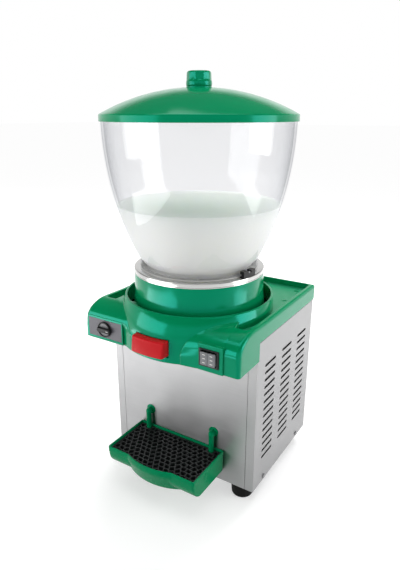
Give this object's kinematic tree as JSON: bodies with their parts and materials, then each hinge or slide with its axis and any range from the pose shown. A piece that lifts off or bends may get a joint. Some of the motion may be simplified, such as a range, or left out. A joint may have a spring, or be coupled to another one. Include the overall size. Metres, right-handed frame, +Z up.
{
  "type": "cold drink dispenser",
  "caption": "Countertop cold drink dispenser with a clear lidded bowl on a round collar, a press lever over a hooked drip tray and a steel cabinet holding the cooling unit.",
  "frame": {"origin": "on the floor under the feet, below the middle of the whole object in X and Y", "axes": "+Z up, front with lever and drip tray faces -Y, +X is the right-hand side seen from the front"},
  "size_m": [0.3088, 0.3416, 0.6975],
  "materials": {
    "green_plastic": "glossy moulded",
    "dark_green_plastic": "satin moulded",
    "red_plastic": "glossy moulded",
    "clear_plastic": "clear, polished",
    "panel_steel": "brushed",
    "zinc_steel": "zinc plated",
    "polished_steel": "polished",
    "screw_steel": "bright",
    "black_rubber": "matte",
    "clear_rubber": "satin",
    "black_plastic": "satin moulded",
    "grey_plastic": "satin moulded",
    "white_plastic": "satin moulded",
    "copper": "drawn tube",
    "black_enamel": "black enamel",
    "fin_aluminium": "mill",
    "foam": "foamed"
  },
  "bodies": {
    "cabinet": {"top_cover": "green_plastic", "collar_shell": "green_plastic", "lobe_floor": "dark_green_plastic", "front_panel": "panel_steel", "left_side_panel": "panel_steel", "right_side_panel": "panel_steel", "rear_panel": "panel_steel", "base_pan": "zinc_steel", "deck_plate": "zinc_steel", "cover_posts": "zinc_steel", "lever_bracket": "zinc_steel", "mixer_bracket": "zinc_steel", "fan_bracket": "zinc_steel", "fan_shroud": "zinc_steel", "clamp_ring": "polished_steel", "chill_well": "polished_steel", "foot_screws": "screw_steel", "panel_screws": "screw_steel", "cover_screws": "screw_steel", "lock_screws": "screw_steel", "lever_pin": "screw_steel", "lever_spring": "screw_steel", "feet": "black_rubber", "compressor_mounts": "black_rubber", "tray_grommets": "black_rubber", "shaft_seal": "black_rubber", "bowl_gasket": "clear_rubber", "outlet_hose": "clear_rubber", "thermostat_plate": "black_plastic", "thermostat_body": "black_plastic", "switch_body": "black_plastic", "lock_blocks": "black_plastic", "mains_inlet": "black_plastic", "terminal_block": "black_plastic", "valve_body": "white_plastic", "evaporator_coil": "copper", "filter_drier": "copper", "liquid_line": "copper", "discharge_line": "copper", "compressor": "black_enamel", "fan_motor": "black_enamel", "mixer_motor": "black_enamel", "condenser": "fin_aluminium", "well_insulation": "foam"},
    "bowl": {"bowl": "clear_plastic"},
    "lid": {"lid_shell": "green_plastic", "lid_knob": "green_plastic", "lid_screw": "screw_steel"},
    "mixer": {"mixer_shaft": "polished_steel", "agitator": "white_plastic"},
    "fan": {"fan_blades": "black_plastic"},
    "lever": {"press_lever": "red_plastic"},
    "plunger": {"valve_plunger": "white_plastic"},
    "knob": {"thermostat_knob": "black_plastic"},
    "rocker_left": {"left_rocker": "grey_plastic"},
    "rocker_right": {"right_rocker": "grey_plastic"},
    "tray": {"drip_tray": "green_plastic"},
    "grate": {"drip_grate": "black_plastic"}
  },
  "joints": [
    {"name": "bowl_twist", "type": "hinge", "parent": "cabinet", "child": "bowl", "pos_m": [0, -0.00485, 0.3947], "axis": [0, 0, -1], "range_deg": [0, 25]},
    {"name": "lid_lift", "type": "slide", "parent": "bowl", "child": "lid", "axis": [0, 0, 1], "range_m": [0, 0.12]},
    {"name": "mixer_spin", "type": "hinge", "parent": "cabinet", "child": "mixer", "pos_m": [0, -0.00485, 0.32], "axis": [0, 0, 1], "continuous": true},
    {"name": "fan_spin", "type": "hinge", "parent": "cabinet", "child": "fan", "pos_m": [0.1043, 0.04535, 0.142], "axis": [1, 0, 0], "continuous": true},
    {"name": "press_lever", "type": "hinge", "parent": "cabinet", "child": "lever", "pos_m": [0, -0.13415, 0.2975], "axis": [1, 0, 0], "range_deg": [0, 10], "stiffness_Nm_per_rad": 0.4, "springref_deg": -8.59},
    {"name": "valve_lift", "type": "slide", "parent": "cabinet", "child": "plunger", "axis": [0, 0, 1], "range_m": [0, 0.0022]},
    {"name": "thermostat_turn", "type": "hinge", "parent": "cabinet", "child": "knob", "pos_m": [-0.1055, -0.13265, 0.294], "axis": [0, 1, 0], "range_deg": [0, 270]},
    {"name": "left_rocker_tilt", "type": "hinge", "parent": "cabinet", "child": "rocker_left", "pos_m": [0.0912, -0.12865, 0.2957], "axis": [1, 0, 0], "range_deg": [-6, 6]},
    {"name": "right_rocker_tilt", "type": "hinge", "parent": "cabinet", "child": "rocker_right", "pos_m": [0.1058, -0.12865, 0.2957], "axis": [1, 0, 0], "range_deg": [-6, 6]},
    {"name": "tray_pull", "type": "slide", "parent": "cabinet", "child": "tray", "axis": [0, -1, 0], "range_m": [0, 0.05]},
    {"name": "grate_lift", "type": "slide", "parent": "tray", "child": "grate", "axis": [0, 0, 1], "range_m": [0, 0.025]}
  ],
  "couplings": [
    {"joint": "valve_lift", "follows": "press_lever", "m_per_rad": 0.0126}
  ]
}
